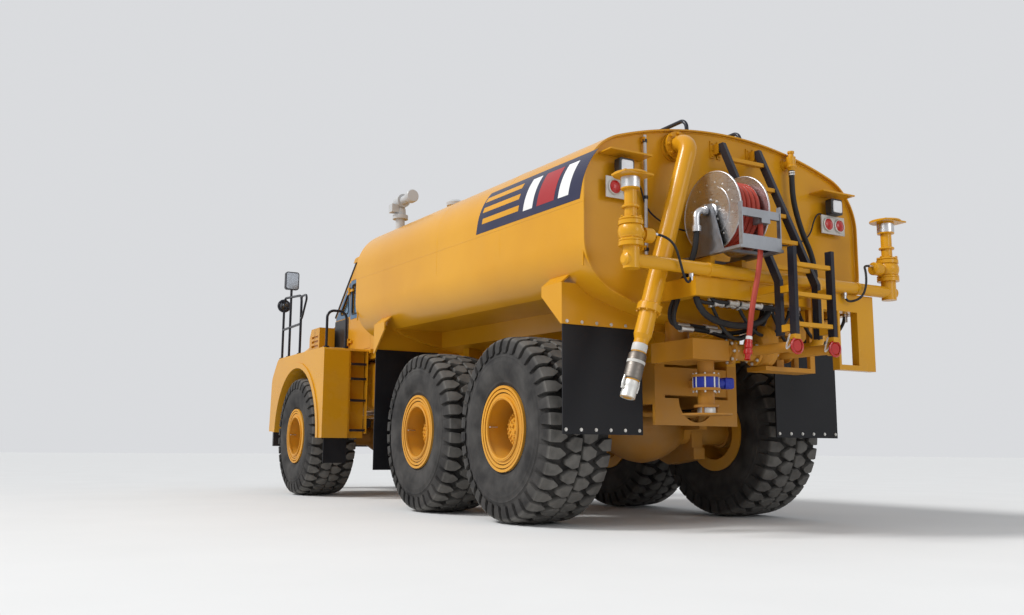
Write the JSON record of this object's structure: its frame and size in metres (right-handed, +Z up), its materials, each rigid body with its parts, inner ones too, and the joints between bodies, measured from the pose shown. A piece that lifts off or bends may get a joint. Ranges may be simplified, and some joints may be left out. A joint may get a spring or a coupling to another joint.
{
  "type": "articulated water tanker truck",
  "caption": "Articulated off-road water tanker truck with a crowned rounded tank, rear spray heads, hose reel, ladder and a steering hitch behind the cab.",
  "frame": {"origin": "on the ground under the middle of the overall length and width", "axes": "+X towards the nose, +Y to the truck's left, +Z up"},
  "size_m": [12, 3.53, 4.1753],
  "materials": {
    "body_yellow": "gloss",
    "chassis_yellow": "satin",
    "rim_yellow": "satin",
    "rail_black": "gloss",
    "tyre_rubber": "matte",
    "flap_rubber": "matte",
    "hose_red": "satin",
    "hose_black": "satin",
    "steel": "brushed",
    "rod_chrome": "polished",
    "lamp_plate": "satin",
    "lens_red": "gloss",
    "lamp_clear": "gloss",
    "monitor_grey": "satin",
    "window_glass": "gloss",
    "dark_plastic": "matte",
    "seat_cloth": "woven",
    "cast": "cast"
  },
  "bodies": {
    "rear_chassis": {"rear_frame": "chassis_yellow", "tank": "body_yellow", "manway_neck": "body_yellow", "tank_cradle": "body_yellow", "mud_flaps": "flap_rubber", "rear_platform": "body_yellow", "spray_manifold": "body_yellow", "fill_pipe": "body_yellow", "water_pump": "chassis_yellow", "breather_hose": "hose_black", "ladder_rails": "rail_black", "ladder_rungs": "body_yellow", "lamp_brackets": "lamp_plate", "rear_lamps": "lens_red", "reel_frame": "steel", "hose_tail": "hose_red", "hose_nozzle": "lens_red", "monitor_base": "monitor_grey", "bogie_beams": "chassis_yellow", "bogie_axles": "chassis_yellow"},
    "tractor": {"front_frame": "chassis_yellow", "engine": "cast", "front_axle": "chassis_yellow", "fenders": "body_yellow", "access_ladder": "body_yellow", "front_flaps": "flap_rubber", "handrails": "rail_black", "cab_shell": "body_yellow", "cab_roof": "body_yellow", "cab_glass": "window_glass", "operator_seat": "seat_cloth", "exhaust_stack": "rail_black", "side_tanks": "body_yellow", "bumper": "rail_black", "headlamps": "lamp_clear"},
    "hitch": {"hitch": "chassis_yellow"},
    "hood": {"hood": "body_yellow", "grille": "dark_plastic"},
    "cab_door": {"cab_door": "body_yellow", "door_glass": "window_glass"},
    "manway_lid": {"manway_lid": "body_yellow"},
    "hose_reel": {"reel_drum": "steel", "wound_hose": "hose_red"},
    "water_monitor": {"monitor_nozzle": "monitor_grey"},
    "left_barrel": {"steering_barrel_left": "chassis_yellow"},
    "left_rod": {"steering_rod_left": "rod_chrome"},
    "right_barrel": {"steering_barrel_right": "chassis_yellow"},
    "right_rod": {"steering_rod_right": "rod_chrome"},
    "front_left_wheel": {"front_left_tyre": "tyre_rubber", "front_left_rim": "rim_yellow"},
    "front_right_wheel": {"front_right_tyre": "tyre_rubber", "front_right_rim": "rim_yellow"},
    "mid_left_wheel": {"mid_left_tyre": "tyre_rubber", "mid_left_rim": "rim_yellow"},
    "mid_right_wheel": {"mid_right_tyre": "tyre_rubber", "mid_right_rim": "rim_yellow"},
    "rear_left_wheel": {"rear_left_tyre": "tyre_rubber", "rear_left_rim": "rim_yellow"},
    "rear_right_wheel": {"rear_right_tyre": "tyre_rubber", "rear_right_rim": "rim_yellow"}
  },
  "joints": [
    {"name": "frame_oscillation", "type": "hinge", "parent": "rear_chassis", "child": "hitch", "pos_m": [0.9, 0, 1.15], "axis": [1, 0, 0], "range_deg": [-15, 15]},
    {"name": "articulation", "type": "hinge", "parent": "hitch", "child": "tractor", "pos_m": [1.45, 0, 1.15], "axis": [0, 0, 1], "range_deg": [-45, 45]},
    {"name": "hood_tilt", "type": "hinge", "parent": "tractor", "child": "hood", "pos_m": [5.88, 0, 1.4], "axis": [0, 1, 0], "range_deg": [0, 60]},
    {"name": "door_swing", "type": "hinge", "parent": "tractor", "child": "cab_door", "pos_m": [2.7, 0.977, 2.8], "axis": [0, 0, -1], "range_deg": [0, 80]},
    {"name": "manway_hinge", "type": "hinge", "parent": "rear_chassis", "child": "manway_lid", "pos_m": [-1, 0, 4.00063], "axis": [0, -1, 0], "range_deg": [0, 100]},
    {"name": "reel_spin", "type": "hinge", "parent": "rear_chassis", "child": "hose_reel", "pos_m": [-5.47, 0.455, 2.8], "axis": [0, 1, 0], "continuous": true},
    {"name": "monitor_swivel", "type": "hinge", "parent": "rear_chassis", "child": "water_monitor", "pos_m": [0.12, 1.22, 3.87], "axis": [0, 0, 1], "range_deg": [-170, 170]},
    {"name": "left_cylinder_swing", "type": "hinge", "parent": "tractor", "child": "left_barrel", "pos_m": [2.45, 0.58, 1.09], "axis": [0, 0, 1], "range_deg": [-8.51, 8.51]},
    {"name": "left_rod_slide", "type": "slide", "parent": "left_barrel", "child": "left_rod", "axis": [-0.993, -0.1177, 0], "range_m": [-0.3419, 0.3419]},
    {"name": "right_cylinder_swing", "type": "hinge", "parent": "tractor", "child": "right_barrel", "pos_m": [2.45, -0.58, 1.09], "axis": [0, 0, 1], "range_deg": [-8.51, 8.51]},
    {"name": "right_rod_slide", "type": "slide", "parent": "right_barrel", "child": "right_rod", "axis": [-0.993, 0.1177, 0], "range_m": [-0.3419, 0.3419]},
    {"name": "front_left_spin", "type": "hinge", "parent": "tractor", "child": "front_left_wheel", "pos_m": [3, 1.345, 0.91], "axis": [0, 1, 0], "continuous": true},
    {"name": "front_right_spin", "type": "hinge", "parent": "tractor", "child": "front_right_wheel", "pos_m": [3, -1.345, 0.91], "axis": [0, 1, 0], "continuous": true},
    {"name": "mid_left_spin", "type": "hinge", "parent": "rear_chassis", "child": "mid_left_wheel", "pos_m": [-1.6, 1.345, 0.91], "axis": [0, 1, 0], "continuous": true},
    {"name": "mid_right_spin", "type": "hinge", "parent": "rear_chassis", "child": "mid_right_wheel", "pos_m": [-1.6, -1.345, 0.91], "axis": [0, 1, 0], "continuous": true},
    {"name": "rear_left_spin", "type": "hinge", "parent": "rear_chassis", "child": "rear_left_wheel", "pos_m": [-3.6, 1.345, 0.91], "axis": [0, 1, 0], "continuous": true},
    {"name": "rear_right_spin", "type": "hinge", "parent": "rear_chassis", "child": "rear_right_wheel", "pos_m": [-3.6, -1.345, 0.91], "axis": [0, 1, 0], "continuous": true}
  ],
  "couplings": [
    {"joint": "left_cylinder_swing", "follows": "articulation", "ratio": -0.18685},
    {"joint": "left_rod_slide", "follows": "articulation", "m_per_rad": -0.4341},
    {"joint": "right_cylinder_swing", "follows": "articulation", "ratio": -0.18685},
    {"joint": "right_rod_slide", "follows": "articulation", "m_per_rad": 0.4341}
  ]
}
